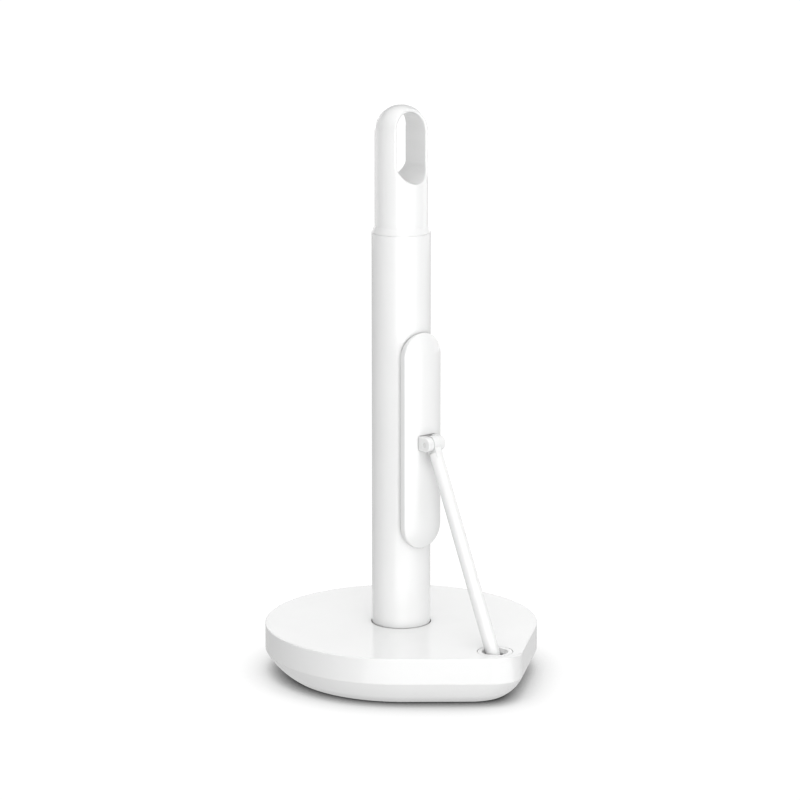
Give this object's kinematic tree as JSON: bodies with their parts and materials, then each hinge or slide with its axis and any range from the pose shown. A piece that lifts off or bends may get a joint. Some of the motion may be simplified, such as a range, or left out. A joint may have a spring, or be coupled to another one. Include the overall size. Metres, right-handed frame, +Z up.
{
  "type": "paper towel holder",
  "caption": "Upright paper towel holder with a weighted teardrop base, a round post with a loop handle, and a sprung tension arm whose tilting pad presses on the roll.",
  "frame": {"origin": "on the post's axis, at the underside of the non-slip mat", "axes": "+Z up along the post; +X from the post towards the base's corner that carries the arm; +Y completes a right-handed frame"},
  "size_m": [0.198, 0.1778, 0.3718],
  "materials": {
    "white_shell": "gloss white moulded shell",
    "white_enamel": "gloss white coated steel tube",
    "white_handle": "gloss white coated handle",
    "white_trim": "gloss white trim ring",
    "white_rod": "gloss white coated steel rod",
    "white_pad": "gloss white moulded plate",
    "white_clevis": "gloss white moulded boss",
    "white_pin": "white coated pin",
    "soft_liner": "matt light grey soft liner",
    "grey_rubber": "matt dark grey sheet",
    "dark_plastic": "fine textured dark plastic",
    "nylon_bush": "natural nylon",
    "cast_weight": "as cast",
    "zinc_steel": "zinc plated",
    "spring_steel": "bright drawn wire",
    "brass_insert": "turned"
  },
  "bodies": {
    "base": {"base_shell": "white_shell", "ballast_plate": "cast_weight", "ballast_screws": "zinc_steel", "bottom_cover": "dark_plastic", "cover_screws": "zinc_steel", "non_slip_mat": "grey_rubber", "post_tube": "white_enamel", "post_foot_plug": "dark_plastic", "tie_rod": "zinc_steel", "tie_rod_washer": "zinc_steel", "tie_rod_nut": "zinc_steel", "handle_loop": "white_handle", "handle_insert": "brass_insert", "socket_bezel": "white_trim", "pivot_bracket": "zinc_steel", "bracket_screws": "zinc_steel", "pivot_pin": "zinc_steel", "pin_clips": "spring_steel", "torsion_spring": "spring_steel"},
    "arm": {"arm_hub": "zinc_steel", "pivot_bushes": "nylon_bush", "arm_rod": "white_rod", "rod_lock_pin": "spring_steel"},
    "pad": {"pad_shell": "white_pad", "pad_liner": "soft_liner", "clevis_block": "white_clevis", "clevis_pin": "white_pin", "clevis_screws": "zinc_steel"}
  },
  "joints": [
    {"name": "arm_swing", "type": "hinge", "parent": "base", "child": "arm", "pos_m": [0.09465, 0, 0.022], "axis": [0, 1, 0], "range_deg": [0, 25], "stiffness_Nm_per_rad": 0.5, "springref_deg": -34.38, "deforming": ["torsion_spring"]},
    {"name": "pad_tilt", "type": "hinge", "parent": "arm", "child": "pad", "pos_m": [0.0315, 0, 0.1565], "axis": [0, 1, 0], "range_deg": [-25, 0]}
  ],
  "couplings": [
    {"joint": "pad_tilt", "follows": "arm_swing", "ratio": -1}
  ]
}
